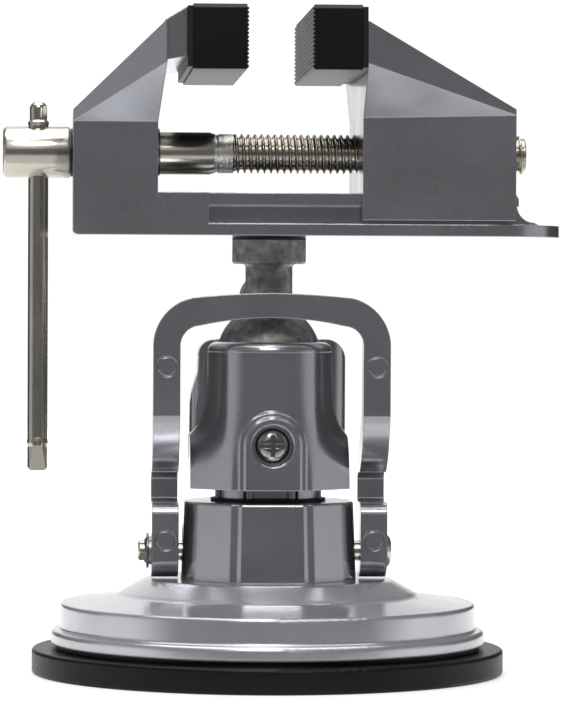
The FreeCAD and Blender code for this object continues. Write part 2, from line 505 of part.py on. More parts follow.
def section(name, z, t):
    """Plan of the front half at one height, between the column's circle (t 0) and the foot (t 1), closed along the split."""
    r, cy = num(d.lobe_radius) - (0.05 if t == 0 else 0.0), num(d.lobe_y)
    ring = [(r * math.sin(math.radians(a)), -cy - r * math.cos(math.radians(a))) for a in TURN]
    ring[-1] = (math.sqrt(r * r - (2.0 + cy) ** 2), 2.0)
    half = [((1 - t) * a[0] + t * f[0], (1 - t) * a[1] + t * f[1]) for a, f in zip(ring, FOOT)]
    pts = [V(-x, y, 0) for x, y in reversed(half[1:])] + [V(x, y, 0) for x, y in half]
    curve = Part.BSplineCurve()
    curve.interpolate(Points=pts, Parameters=[k / (len(pts) - 1.0) for k in range(len(pts))])
    sk = doc.addObject("Sketcher::SketchObject", name)
    sk.Placement = Placement(V(0, 0, num(z)), Rotation())
    if isinstance(z, Q):
        sk.setExpression("Placement.Base.z", z.e)
    sk.addGeometry(curve)
    sk.addGeometry(Part.LineSegment(pts[-1], pts[0]))
    return sk


levels = [(d.socket_bottom, 1.0), (47.5, 0.9), (51.0, 0.74), (54.2, 0.56), (56.8, 0.40), (59.0, 0.27), (61.4, 0.165), (64.2, 0.078), (67.2, 0.031), (70.2, 0.009), (73.6, 0.0015), (d.flare_top, 0.0)]
flare = doc.addObject("Part::Loft", "socket_flare")
flare.Sections = [section("flare_at%d" % n, z, t) for n, (z, t) in enumerate(levels)]
flare.Solid = True
flare.Ruled = False
front_shell = doc.addObject("Part::MultiCommon", "socket_shell")
front_shell.Shapes = [flare, box("socket_limits", (d.socket_half * 2, 40.0, 40.0), (-d.socket_half, d.split_front - 40.0, d.socket_bottom))]

b = new_body("socket_body")
sh, rdp = d.socket_half, d.rear_depth
run(b, "Pad", "foot", "XY_Plane", [[(-sh, 0.5), (sh, 0.5), (sh, 9.0), (16.5, 13.4), (12.0, rdp), (-12.0, rdp), (-16.5, 13.4), (-sh, 9.0)]], d.sill_top - d.socket_bottom, offset=d.socket_bottom)
run(b, "Pad", "column", "XY_Plane", [[("circle", 0, -d.lobe_y, d.lobe_radius)]], d.socket_top - d.flare_top + 0.05, offset=d.flare_top - 0.05)
dress(b, "Fillet", "column_rim", d.socket_rim, lambda e: flat_z(e, num(d.socket_top)) and len(e.Vertexes) <= 2 and e.BoundBox.XLength > 20)
# narrow flange along the left of the split
run(b, "Pad", "edge_flange", "XZ_Plane", [[(-10.0, 59.0), (-17.6, 59.0), (-17.4, 63.5), (-16.6, 68.2), (-15.9, 71.6), (-15.7, 74.5), ("via", -15.1, 77.4), (-12.8, 79.0), (-10.0, 79.2)]], 2.6, offset=-d.split_front)
run(b, "Pocket", "split", "YZ_Plane", [[(d.split_front, d.sill_top), (30.0, d.sill_top), (30.0, 90.0), (d.split_front, 90.0)]], 80.0, both=True)
# arched panel in two steps
for step, radius, front, edge in (("rim", d.arch_rim_radius, d.arch_rim_front, 0.5), ("panel", d.arch_radius, d.panel_front, 0.6)):
    run(b, "Pad", "arch_" + step, "XZ_Plane", [[
        (-radius, d.socket_bottom), (radius, d.socket_bottom), (radius, d.clamp_height), ("via", 0, d.clamp_height + radius), (-radius, d.clamp_height)]],
        front - 12.0, offset=12.0)
    dress(b, "Chamfer", "arch_%s_edge" % step, edge, lambda e, y=num(front): abs(e.BoundBox.YMin + y) < 1e-3 and abs(e.BoundBox.YMax + y) < 1e-3 and e.BoundBox.ZMax > num(d.socket_bottom) + 1)
run(b, "Pad", "boss", "XY_Plane", [[("circle", 0, 0, d.boss_radius)]], d.socket_bottom - d.boss_bottom + 0.5, offset=d.boss_bottom)

cuts = new_body("socket_cuts")
run(cuts, "Revolution", "ball_seat", "XZ_Plane", [[
    (0, d.ball_height - d.socket_radius), ("via", d.socket_radius * 0.70710678, d.ball_height - d.socket_radius * 0.70710678), (d.socket_radius, d.ball_height),
    ("via", d.socket_radius * 0.9807853, d.ball_height + d.socket_radius * 0.1950903), (d.socket_radius * 0.92387953, d.ball_height + d.socket_radius * 0.38268343),
    (0, d.ball_height + d.socket_radius * 0.38268343)]])
tools = [cuts, cyl("socket_recess", d.clamp_head_recess, 3.2, (0, -d.panel_front, d.clamp_height), TO_Y),
         cone("socket_recess_edge", d.clamp_head_recess + 0.45, d.clamp_head_recess - 0.15, 0.6, (0, -d.panel_front - 0.1, d.clamp_height), TO_Y),
         cyl("socket_bolt_hole", d.clamp_bolt_radius, 60.0, (0, -30.0, d.clamp_height), TO_Y),
         cyl("socket_thread_hole", d.swivel_bolt_radius, d.swivel_bolt_tip - d.boss_bottom + 1.0, (0, 0, d.boss_bottom - 1.0))]
slots = new_body("socket_slots")
for n in range(4):
    for m, (turn, half) in enumerate([(0, 19.5), (-27.5, 1.7), (27.5, 1.7)]):
        a, w = math.radians(90 * n + turn), math.radians(half)
        r0, r1 = 11.4, 14.8
        run(slots, "Pad", "slot%d%d" % (n, m), "XY_Plane", [[(r0 * math.cos(a - w), r0 * math.sin(a - w)), (r1 * math.cos(a - w), r1 * math.sin(a - w)),
            (r1 * math.cos(a + w), r1 * math.sin(a + w)), (r0 * math.cos(a + w), r0 * math.sin(a + w))]], d.socket_bottom - d.boss_bottom + 1.0, offset=d.boss_bottom - 1.0)
tools.append(slots)
keep(cut("socket_front", fuse("socket_raw", [b, front_shell]), fuse("socket_tools", tools)), "socket_front")

# rear half: a clamping jaw around the ball's back
b = new_body("socket_rear")
hw, rd, sr = d.socket_half, d.rear_depth, d.split_rear
rc, rt = d.rear_corner, d.rear_top
run(b, "Pad", "block", "XY_Plane", [[(-hw + rc, sr), (hw - rc, sr), ("via", hw - rc * 0.2929, sr + rc * 0.2929), (hw, sr + rc), (hw, rd - 8.0), ("via", hw - 1.7, rd - 3.6), (hw - 7.5, rd - 0.3), (hw - 9.5, rd),
    (-hw + 9.5, rd), (-hw + 7.5, rd - 0.3), ("via", -hw + 1.7, rd - 3.6), (-hw, rd - 8.0), (-hw, sr + rc), ("via", -hw + rc * 0.2929, sr + rc * 0.2929)]],
    rt - d.rear_bottom, offset=d.rear_bottom)
run(b, "Pocket", "left_slope", "XZ_Plane", [[
    (-hw - 1.0, 57.0), (-hw + 0.2, 57.0), (-hw + 0.3, 64.5), (-hw + 0.6, 66.8), (-hw + 1.1, 68.6), (-hw + 2.1, 71.8), (-hw + 2.3, rt - 4.5),
    ("via", -hw + 2.9, rt - 1.8), (-hw + 5.6, rt - 0.2), (-hw + 8.0, rt), (-hw + 8.0, 90.0), (-hw - 1.0, 90.0)]], 80.0, both=True)
run(b, "Pocket", "right_round", "XZ_Plane", [[
    (hw, rt - 5.2), ("via", hw - 1.2, rt - 1.9), (hw - 4.4, rt), (hw - 4.4, 90.0), (hw + 1, 90.0), (hw + 1, rt - 5.2)]], 80.0, both=True)
run(b, "Pad", "boss", "XZ_Plane", [[("circle", 0, d.clamp_height + 3.6, 7.6)]], 7.0, offset=-d.rear_depth - 0.4, reverse=False)
run(b, "Groove", "ball_seat", "XZ_Plane", [[
    (0, d.ball_height - d.socket_radius), ("via", d.socket_radius * 0.70710678, d.ball_height - d.socket_radius * 0.70710678), (d.socket_radius, d.ball_height),
    ("via", d.socket_radius * 0.9807853, d.ball_height + d.socket_radius * 0.1950903), (d.socket_radius * 0.92387953, d.ball_height + d.socket_radius * 0.38268343),
    (0, d.ball_height + d.socket_radius * 0.38268343)]])
run(b, "Pocket", "bolt_hole", "XZ_Plane", [[("circle", 0, d.clamp_height, d.clamp_clear)]], 60.0, both=True)
keep(b, "socket_rear")

# clamp bolt with a cross recess
b = new_body("clamp_bolt", Placement(V(0, 0, num(d.clamp_height)), Rotation()))
b.setExpression("Placement.Base.z", "dims.clamp_height")
hy = d.panel_front - 3.2
run(b, "Revolution", "bolt", "YZ_Plane", [[
    (-hy - 2.6, 0), (-hy - 2.6, 1.6), ("via", -hy - 2.15, 3.05), (-hy - 1.1, d.clamp_head_radius), (-hy, d.clamp_head_radius), (-hy, d.clamp_bolt_radius),
    (d.clamp_bolt_end - 0.6, d.clamp_bolt_radius), (d.clamp_bolt_end, d.clamp_bolt_radius - 0.6), (d.clamp_bolt_end, 0)]], axis="H_Axis")
for n, (w1, h1) in enumerate([(2.7, 0.5), (0.5, 2.7)]):
    run(b, "Pocket", "cross%d" % n, "XZ_Plane", [[(-w1, -h1), (w1, -h1), (w1, h1), (-w1, h1)]], 1.6, offset=hy + 2.6)
keep(b, "clamp_bolt")

keep(cut("clamp_washer", cyl("cw_out", 6.4, d.hub_front - d.rear_depth - 0.5, (0, d.rear_depth + 0.4, d.clamp_height), TO_Y),
         cyl("cw_in", d.clamp_clear, 6.0, (0, d.rear_depth - 2, d.clamp_height), TO_Y)), "clamp_washer")

# clamp handle at the back: hub on the bolt and a flat handle up to a round tip
b = new_body("clamp_handle")
run(b, "Pad", "hub", "XZ_Plane", [[("circle", 0, d.clamp_height, d.handle_hub_radius)]], d.hub_back - d.hub_front, offset=-d.hub_back)
tr, th = d.handle_tip_radius, d.handle_tip_height
run(b, "Pad", "arm", "XZ_Plane", [[
    (-5.0, d.clamp_height), (5.0, d.clamp_height), (4.0, d.clamp_height + 14.0), (tr, th), ("via", 0, th + tr), (-tr, th), (-4.0, d.clamp_height + 14.0)]],
    d.handle_thick, offset=-d.handle_front - d.handle_thick)
dress(b, "Fillet", "soft_edges", 1.1, lambda e: e.BoundBox.ZMin > num(d.clamp_height) + 8 and e.BoundBox.YLength < 1e-3)
run(b, "Pocket", "bore", "XZ_Plane", [[("circle", 0, d.clamp_height, d.clamp_bore)]], 80.0, both=True)
keep(b, "clamp_handle")

# ---------------------------------------------------------------- ball stem
b = new_body("ball_stem")
R, nr = d.ball_radius, d.neck_radius
neck_z = math.sqrt(num(R) ** 2 - num(nr) ** 2)
run(b, "Revolution", "stem", "XZ_Plane", [[
    (0, d.ball_height - R), ("via", R, d.ball_height), (nr, d.ball_height + neck_z), (nr, d.collar_bottom - 0.6), (nr + 0.6, d.collar_bottom), (d.collar_radius - 0.4, d.collar_bottom),
    (d.collar_radius, d.collar_bottom + 0.4), (d.collar_radius, d.collar_top), (0, d.collar_top)]])
run(b, "Pocket", "thread_hole", "XY_Plane", [[("circle", 0, 0, d.head_bolt_radius)]], d.collar_top - d.head_bolt_tip, offset=d.collar_top)
keep(b, "ball_stem")

b = new_body("head_washer")
run(b, "Pad", "ring", "XY_Plane", [[("circle", 0, 0, d.collar_radius)], [("circle", 0, 0, d.head_bolt_radius + 0.2)]], d.head_washer_top - d.collar_top, offset=d.collar_top)
keep(b, "head_washer")

b = new_body("head_bolt")
run(b, "Revolution", "bolt", "XZ_Plane", [[
    (0, d.head_bolt_tip), (d.head_bolt_radius - 0.6, d.head_bolt_tip), (d.head_bolt_radius, d.head_bolt_tip + 0.6), (d.head_bolt_radius, d.head_cap_bottom),
    (d.head_cap_radius, d.head_cap_bottom), (d.head_cap_radius, d.head_cap_top - 0.4), (d.head_cap_radius - 0.4, d.head_cap_top), (0, d.head_cap_top)]])
hexagon = [(2.9 * math.cos(math.radians(60 * k)), 2.9 * math.sin(math.radians(60 * k))) for k in range(6)]
run(b, "Pocket", "key", "XY_Plane", [hexagon], 2.4, offset=d.head_cap_top)
keep(b, "head_bolt")

# ---------------------------------------------------------------- fixed jaw and rail, one casting
b = new_body("fixed_body")
rb = d.rail_bottom
er = d.rail_end_radius
plate_plan = [(-d.head_left, -d.rail_half), (d.rail_end - er, -d.rail_half), ("via", d.rail_end - er * 0.2929, -d.rail_half + er * 0.2929), (d.rail_end, -d.rail_half + er),
              (d.rail_end, d.rail_half - er), ("via", d.rail_end - er * 0.2929, d.rail_half - er * 0.2929), (d.rail_end - er, d.rail_half), (-d.head_left, d.rail_half)]
run(b, "Pad", "plate", "XY_Plane", [plate_plan], d.plate_thick, offset=rb)
run(b, "Pad", "block", "XZ_Plane", [[(-d.head_left, rb), (-d.block_right, rb), (-d.block_right, d.block_top), (-d.head_left, d.block_top)]], d.rail_half * 2, both=True)
run(b, "Pad", "root", "XZ_Plane", [[(-d.block_right - 1, rb), (-d.rail_solid_end, rb), (-d.rail_solid_end, d.rail_top), (-d.block_right - 1, d.rail_top)]], d.rail_half * 2, both=True)
run(b, "Pad", "web", "XZ_Plane", [[(-d.rail_solid_end - 1, rb + 1), (d.ridge_end_foot + 1.4, rb + 1), (d.ridge_end_foot + 1.4, rb + d.plate_thick), (d.ridge_end_foot, 108.1), ("via", d.ridge_end_top + 1.17, 109.27),
    (d.ridge_end_top, 112.1), (d.ridge_end_top, d.rail_top - 1.2), (d.ridge_end_top - 0.7, d.rail_top), (-d.rail_solid_end - 1, d.rail_top)]], d.web_half * 2, both=True)
run(b, "Pad", "flange", "XZ_Plane", [[(-d.rail_solid_end - 1, d.web_top), (d.ridge_end_top, d.web_top), (d.ridge_end_top, d.rail_top - 1.2), (d.ridge_end_top - 0.7, d.rail_top), (-d.rail_solid_end - 1, d.rail_top)]],
    d.flange_half * 2, both=True)
dress(b, "Fillet", "corner", 1.2, lambda e: along(e, Y) and abs(e.BoundBox.XMin + num(d.head_left)) < 1e-3 and abs(e.BoundBox.ZMax - num(rb)) < 1e-3)
hl, br, fx = -num(d.head_left), -num(d.block_right), -num(d.flare_x)
rh, jh, bt, et, fl, fh = num(d.rail_half), num(d.jaw_half), num(d.block_top), num(d.block_end_top), num(d.flare_low), num(d.flare_high)


def wedge(label, xa, xb, xc, za, zb, ze, zc, zd):
    """The jaw's widening top: A and E at the end, B at the throat, C and D at the wide edge, front and back."""
    A, B_, C, D_, E = ([(xa, s * rh, za) for s in (-1, 1)], [(xb, s * rh, zb) for s in (-1, 1)], [(xc, s * jh, zc) for s in (-1, 1)],
                       [(xc, s * jh, zd) for s in (-1, 1)], [(xa, s * rh, ze) for s in (-1, 1)])
    faces = [[A[0], A[1], E[1], E[0]], [E[0], E[1], D_[1], D_[0]], [C[0], C[1], D_[1], D_[0]], [B_[0], B_[1], C[1], C[0]], [A[0], A[1], B_[1], B_[0]]]
    for s in (0, 1):
        faces += [[A[s], B_[s], C[s]], [A[s], C[s], D_[s], E[s]]]
    return solid_of(faces, label)


flare = wedge("fixed_flare", hl, br, fx, bt, bt, et, fl, fh)
neck = new_body("fixed_neck")
run(neck, "Pad", "tongue", "XZ_Plane", [[(-d.flare_x - 0.5, d.flare_low + 0.5), (-d.neck_end, d.flare_low + 1.4), (-d.neck_end, d.grip_high - 0.5), (-d.flare_x - 0.5, d.flare_high - 0.1)]], d.neck_half * 2, both=True)
raw = fuse("fixed_raw", [b, flare, neck])
bore = cyl("fixed_bore", d.shank_bore, 30.0, (-d.head_left - 2, 0, d.screw_height), TO_X)
hole = cyl("head_hole", d.head_bore, 20.0, (0, 0, d.rail_bottom - 2))
sink = cyl("head_sink", d.head_cap_radius + 0.5, 10.0, (0, 0, d.head_cap_bottom - 0.1))
keep(cut("fixed_jaw", raw, fuse("fixed_tools", [bore, hole, sink])), "fixed_jaw")

# ---------------------------------------------------------------- moving jaw
b = new_body("moving_body")
run(b, "Pad", "block", "XZ_Plane", [[(d.jaw_left, d.jaw_bottom), (d.jaw_right - 0.3, d.jaw_bottom), (d.jaw_right, d.jaw_bottom + 0.3), (d.jaw_right, d.jaw_top_right), (d.jaw_left, d.jaw_top_left)]], d.rail_half * 2, both=True)
run(b, "Pocket", "channel", "YZ_Plane", [[
    (-d.lip_half, d.jaw_bottom - 3), (d.lip_half, d.jaw_bottom - 3), (d.lip_half, d.lip_top), (d.channel_half, d.lip_top), (d.channel_half, d.channel_top),
    (-d.channel_half, d.channel_top), (-d.channel_half, d.lip_top), (-d.lip_half, d.lip_top)]], 200.0, both=True)
run(b, "Pocket", "screw_bore", "YZ_Plane", [[("circle", 0, d.screw_height, d.thread_bore)]], 200.0, both=True)
flare = wedge("moving_flare", num(d.jaw_right), num(d.jaw_left), num(d.jaw_left), num(d.jaw_top_right), num(d.jaw_top_left), num(d.jaw_end_top), num(d.jaw_flare_low), num(d.jaw_flare_high))
keep(fuse("moving_jaw", [b, flare]), "moving_jaw")


# ---------------------------------------------------------------- grips: rubber blocks with ribbed faces, on thin backing plates
def grip(label, face, back, side):
    """side is +1 when the ribbed face looks to +X."""
    b = new_body(label)
    gl, gh, p, dp = d.grip_low, d.grip_high, d.rib_pitch, d.rib_depth
    pts = [(back, gl), (face - side * 0.4, gl)]
    for k in range(15):
        z0 = gl + 0.45 + p * k
        pts += [(face, z0 + p * 0.12), (face, z0 + p * 0.52), (face - side * dp, z0 + p * 0.7), (face - side * dp, z0 + p * 0.92)]
    pts += [(face - side * 0.4, gh), (back, gh)]
    run(b, "Pad", "block", "XZ_Plane", [pts], d.jaw_half * 2, both=True)
    dress(b, "Chamfer", "top_edges", 0.9, lambda e: flat_z(e, num(gh)) and along(e, X))
    return keep(b, label)


grip("fixed_grip", -d.grip_left_face, -d.grip_left, 1)
grip("moving_grip", d.grip_right_face, d.grip_right, -1)
for label, x0 in (("fixed_grip_plate", -d.neck_end), ("moving_grip_plate", d.grip_right)):
    b = new_body(label)
    run(b, "Pad", "sheet", "XZ_Plane", [[(x0, d.grip_low + 0.5), (x0 + 1.3, d.grip_low + 0.5), (x0 + 1.3, d.grip_high - 0.5), (x0, d.grip_high - 0.5)]], d.jaw_half * 2 - 0.8, both=True)
    keep(b, label)

# ---------------------------------------------------------------- lead screw, its washers and the sliding bar
b = new_body("lead_screw", Placement(V(0, 0, num(d.screw_height)), Rotation()))
b.setExpression("Placement.Base.z", "dims.screw_height")
run(b, "Revolution", "screw", "XZ_Plane", [[
    (-d.hub_left, 0), (-d.hub_left, d.hub_radius - 0.8), (-d.hub_left + 0.8, d.hub_radius), (-d.hub_right - 0.4, d.hub_radius), (-d.hub_right, d.hub_radius - 0.4), (-d.hub_right, d.shank_radius),
    (-d.block_right + 0.1, d.shank_radius), (-d.block_right + 0.1, d.ring_groove), (-d.block_right + 0.9, d.ring_groove), (-d.block_right + 0.9, d.shank_radius),
    (-d.shank_end - 0.1, d.shank_radius), (-d.shank_end + 0.9, d.relief_radius), (-d.shank_end + 1.2, d.relief_radius), (-d.shank_end + 1.2, d.relief_groove), (-d.shank_end + 1.9, d.relief_groove), (-d.shank_end + 1.9, d.relief_radius), (-d.thread_start, d.relief_radius), (-d.thread_start, d.thread_radius - 0.1), (-d.thread_start + 0.4, d.thread_radius),
    (d.screw_end - 0.8, d.thread_radius), (d.screw_end, d.thread_radius - 0.8), (d.screw_end, 0)]], axis="H_Axis")
run(b, "Pocket", "bar_hole", "XY_Plane", [[("circle", -d.bar_x, 0, d.bar_bore)]], 60.0, both=True)
keep(b, "lead_screw")

keep(cut("thrust_washer", cyl("tw_out", d.thrust_radius, d.hub_right - d.head_left - 0.1, (-d.hub_right + 0.1, 0, d.screw_height), TO_X),
         cyl("tw_in", d.shank_radius + 0.1, 3.0, (-d.hub_right - 1, 0, d.screw_height), TO_X)), "thrust_washer")
keep(cut("retaining_ring", cyl("rr_out", d.ring_radius, 0.7, (-d.block_right + 0.15, 0, d.screw_height), TO_X),
         fuse("rr_tools", [cyl("rr_in", d.ring_groove, 3.0, (-d.block_right - 1, 0, d.screw_height), TO_X),
                           box("rr_mouth", (3.0, 5.0, 8.0), (-d.block_right - 1, -2.5, d.screw_height - 8.0))])), "retaining_ring")

b = new_body("bar_rod", Placement(V(-num(d.bar_x), 0, 0), Rotation()))
b.setExpression("Placement.Base.x", "-dims.bar_x")
stake_low = d.bar_bottom + 6.6
stake_high = d.screw_height + d.hub_radius + 1.0
br_, bs, bt_ = d.bar_radius, d.bar_stake, d.bar_tip
run(b, "Revolution", "rod", "XZ_Plane", [[
    (0, d.bar_bottom), (br_ - 0.7, d.bar_bottom), ("via", br_ - 0.2, d.bar_bottom + 0.25), (br_, d.bar_bottom + 0.9), (br_, stake_low - 0.9), (bs, stake_low), (br_, stake_low + 0.9),
    (br_, stake_high - 0.9), (bs, stake_high), (bt_, stake_high + 0.5),
    (bt_, d.bar_top - 1.6), ("via", bt_ - 0.4686, d.bar_top - 0.4686), (bt_ - 1.6, d.bar_top), (0, d.bar_top)]])
# the lower end is pressed flat in front, with a punched dent above
run(b, "Pocket", "pressed", "YZ_Plane", [[(-3.4, d.bar_bottom - 1), (-1.2, d.bar_bottom - 1), (-br_, stake_low + 1.5), (-3.4, stake_low + 1.5)]], 12.0, both=True)
keep(cut("t_bar", b, cone("bar_dent", 1.25, 0.2, 1.3, (-d.bar_x, -br_ - 0.1, stake_low + 0.2), TO_Y)), "t_bar")

# ---------------------------------------------------------------- check and export
doc.recompute()
bad = [o.Name for o in doc.Objects if "Invalid" in o.State or "Error" in o.State]
if bad:
    raise RuntimeError("features in error: " + ", ".join(bad))
os.makedirs("parts", exist_ok=True)
for obj in parts:
    shape = obj.Shape
    if shape.isNull() or not shape.isValid() or shape.Volume <= 0:
        raise RuntimeError("bad shape: " + obj.Label)
    shape.exportStep("parts/%s.step" % obj.Label)
    print("%-20s solids %d volume %9.1f  box %s" % (obj.Label, len(shape.Solids), shape.Volume,
          " ".join("%.2f" % v for v in (shape.BoundBox.XMin, shape.BoundBox.XMax, shape.BoundBox.YMin, shape.BoundBox.YMax, shape.BoundBox.ZMin, shape.BoundBox.ZMax))))
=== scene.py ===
import json
import math
import bpy
import bmesh
from mathutils import Matrix, Vector

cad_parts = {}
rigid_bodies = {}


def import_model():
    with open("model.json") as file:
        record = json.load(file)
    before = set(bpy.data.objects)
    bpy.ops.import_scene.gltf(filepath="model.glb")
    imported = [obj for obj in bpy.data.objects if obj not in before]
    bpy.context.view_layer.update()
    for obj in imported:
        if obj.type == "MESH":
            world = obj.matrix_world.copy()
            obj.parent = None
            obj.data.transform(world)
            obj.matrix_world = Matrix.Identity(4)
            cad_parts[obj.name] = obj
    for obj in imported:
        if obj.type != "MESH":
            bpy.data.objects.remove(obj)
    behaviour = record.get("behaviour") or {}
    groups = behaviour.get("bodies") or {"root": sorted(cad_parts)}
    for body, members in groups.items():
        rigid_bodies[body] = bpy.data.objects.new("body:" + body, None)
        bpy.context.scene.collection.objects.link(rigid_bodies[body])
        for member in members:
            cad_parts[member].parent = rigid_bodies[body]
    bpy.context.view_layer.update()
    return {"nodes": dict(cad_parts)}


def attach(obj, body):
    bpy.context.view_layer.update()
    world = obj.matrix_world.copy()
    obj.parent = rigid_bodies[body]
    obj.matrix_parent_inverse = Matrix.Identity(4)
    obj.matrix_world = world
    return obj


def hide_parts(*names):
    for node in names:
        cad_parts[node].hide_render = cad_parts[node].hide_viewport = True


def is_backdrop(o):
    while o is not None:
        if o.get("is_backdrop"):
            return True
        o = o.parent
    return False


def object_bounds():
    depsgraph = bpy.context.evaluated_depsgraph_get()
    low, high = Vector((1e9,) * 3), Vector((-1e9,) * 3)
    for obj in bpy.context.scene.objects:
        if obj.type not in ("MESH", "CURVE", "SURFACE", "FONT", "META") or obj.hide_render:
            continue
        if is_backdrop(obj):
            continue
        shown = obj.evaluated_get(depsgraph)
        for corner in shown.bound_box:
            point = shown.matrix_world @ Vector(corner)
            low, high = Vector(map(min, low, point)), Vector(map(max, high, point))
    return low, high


# Small bench vise on a suction base, in a white studio. Metres, +Z up, front towards -Y.

bpy.ops.object.select_all(action="SELECT")
bpy.ops.object.delete()
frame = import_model()
nodes = frame["nodes"]
scene = bpy.context.scene
scene.view_settings.view_transform = "Standard"
scene.view_settings.look = "None"


# ------------------------------------------------------------------ material helpers
def material(name):
    m = bpy.data.materials.new(name)
    m.use_nodes = True
    t = m.node_tree
    shader = t.nodes["Principled BSDF"]
    return m, t, shader


def node(t, kind, **values):
    n = t.nodes.new(kind)
    for k, v in values.items():
        if k in n.inputs:
            n.inputs[k].default_value = v
        else:
            setattr(n, k, v)
    return n


def coords(t, scale=(1, 1, 1)):
    tc = node(t, "ShaderNodeTexCoord")
    mp = node(t, "ShaderNodeMapping")
    mp.inputs["Scale"].default_value = scale
    t.links.new(tc.outputs["Object"], mp.inputs["Vector"])
    return mp.outputs["Vector"]


def noise(t, where, scale, detail=3.0, rough=0.5):
    n = node(t, "ShaderNodeTexNoise", Scale=scale, Detail=detail, Roughness=rough)
    t.links.new(where, n.inputs["Vector"])
    return n.outputs["Fac"]


def ramp(t, fac, stops):
    r = node(t, "ShaderNodeValToRGB")
    e = r.color_ramp.elements
    while len(e) < len(stops):
        e.new(0.5)
    for s, (pos, col) in zip(e, stops):
        s.position = pos
        s.color = col if len(col) == 4 else (*col, 1)
    t.links.new(fac, r.inputs["Fac"])
    return r.outputs["Color"]


def span(t, fac, lo, hi, a=0.0, b=1.0):
    r = node(t, "ShaderNodeMapRange")
    r.inputs["From Min"].default_value = a
    r.inputs["From Max"].default_value = b
    r.inputs["To Min"].default_value = lo
    r.inputs["To Max"].default_value = hi
    t.links.new(fac, r.inputs["Value"])
    return r.outputs["Result"]


def bump(t, shader, height, distance, strength=1.0, round_edges=0.0, below=None):
    b = node(t, "ShaderNodeBump")
    b.inputs["Strength"].default_value = strength
    b.inputs["Distance"].default_value = distance
    t.links.new(height, b.inputs["Height"])
    if below is not None:
        t.links.new(below, b.inputs["Normal"])
    elif round_edges:
        v = node(t, "ShaderNodeBevel", samples=6)
        v.inputs["Radius"].default_value = round_edges
        t.links.new(v.outputs["Normal"], b.inputs["Normal"])
    t.links.new(b.outputs["Normal"], shader.inputs["Normal"])
    return b.outputs["Normal"]


# ------------------------------------------------------------------ materials
def paint(name, base, rough, flake=0.09, coat=0.25, metal=0.9, edge=0.0004, skin=0.28):
    """Metallic paint: fine flakes, a soft orange peel, a clear coat and slightly uneven gloss."""
    m, t, s = material(name)
    where = coords(t)
    flakes = noise(t, where, 3600, 2.0, 0.7)
    lo, hi = [c * (1 - flake) for c in base], [min(1, c * (1 + flake)) for c in base]
    t.links.new(ramp(t, flakes, [(0.38, lo), (0.62, hi)]), s.inputs["Base Color"])
    cloud = noise(t, where, 60, 3.0)
    t.links.new(span(t, cloud, rough - 0.04, rough + 0.05, 0.3, 0.7), s.inputs["Roughness"])
    peel = noise(t, where, 1300, 2.0)
    bump(t, s, peel, 0.00002, skin, edge)
    s.inputs["Metallic"].default_value = metal
    s.inputs["Coat Weight"].default_value = coat
    s.inputs["Coat Roughness"].default_value = 0.12
    return m


M = {}
M["casting"] = paint("casting", (0.410, 0.413, 0.436), 0.195)
M["base_paint"] = paint("base_paint", (0.52, 0.525, 0.55), 0.20, 0.03, 0.35, 0.70, edge=0.0009, skin=0.08)

m, t, s = material("rough_casting")
where = coords(t)
big, fine = noise(t, where, 420, 4.0, 0.6), noise(t, where, 2300, 3.0, 0.6)
t.links.new(ramp(t, big, [(0.32, (0.16, 0.16, 0.15)), (0.52, (0.27, 0.27, 0.255)), (0.70, (0.42, 0.42, 0.40))]), s.inputs["Base Color"])
t.links.new(span(t, fine, 0.42, 0.62, 0.3, 0.7), s.inputs["Roughness"])
low = bump(t, s, big, 0.00007, 0.45, 0.0004)
bump(t, s, fine, 0.00003, 0.5, 0, low)
s.inputs["Metallic"].default_value = 0.75
M["rough_casting"] = m


def plated(name, base, rough, stretch, edge=0.0002):
    """Plated steel with fine marks along its turned or drawn direction."""
    m, t, s = material(name)
    where = coords(t, stretch)
    marks = noise(t, where, 900, 3.0, 0.65)
    cloud = noise(t, coords(t), 90, 3.0)
    t.links.new(ramp(t, cloud, [(0.3, [c * 0.86 for c in base]), (0.7, base)]), s.inputs["Base Color"])
    t.links.new(span(t, marks, rough - 0.05, rough + 0.08, 0.3, 0.7), s.inputs["Roughness"])
    bump(t, s, marks, 0.000012, 0.5, edge)
    s.inputs["Metallic"].default_value = 1.0
    return m


M["nickel_steel"] = plated("nickel_steel", (0.60, 0.565, 0.49), 0.17, (1, 5, 5))
M["nickel_bar"] = plated("nickel_bar", (0.56, 0.53, 0.455), 0.20, (5, 5, 0.6))
M["plated_steel"] = plated("plated_steel", (0.52, 0.52, 0.50), 0.30, (1, 1, 1))
M["bright_steel"] = plated("bright_steel", (0.36, 0.355, 0.34), 0.10, (1, 1, 1))
M["dark_steel"] = plated("dark_steel", (0.17, 0.17, 0.175), 0.30, (1, 1, 1))


def soft(name, base, rough, grain, depth, edge=0.0003, shine=0.32):
    """Moulded rubber or plastic with a fine grain."""
    m, t, s = material(name)
    where = coords(t)
    g, cloud = noise(t, where, grain, 3.0, 0.6), noise(t, where, 70, 3.0)
    t.links.new(ramp(t, cloud, [(0.3, [c * 0.75 for c in base]), (0.7, [c * 1.25 for c in base])]), s.inputs["Base Color"])
    t.links.new(span(t, g, rough - 0.07, rough + 0.09, 0.3, 0.7), s.inputs["Roughness"])
    bump(t, s, g, depth, 0.5, edge)
    s.inputs["Specular IOR Level"].default_value = shine
    return m


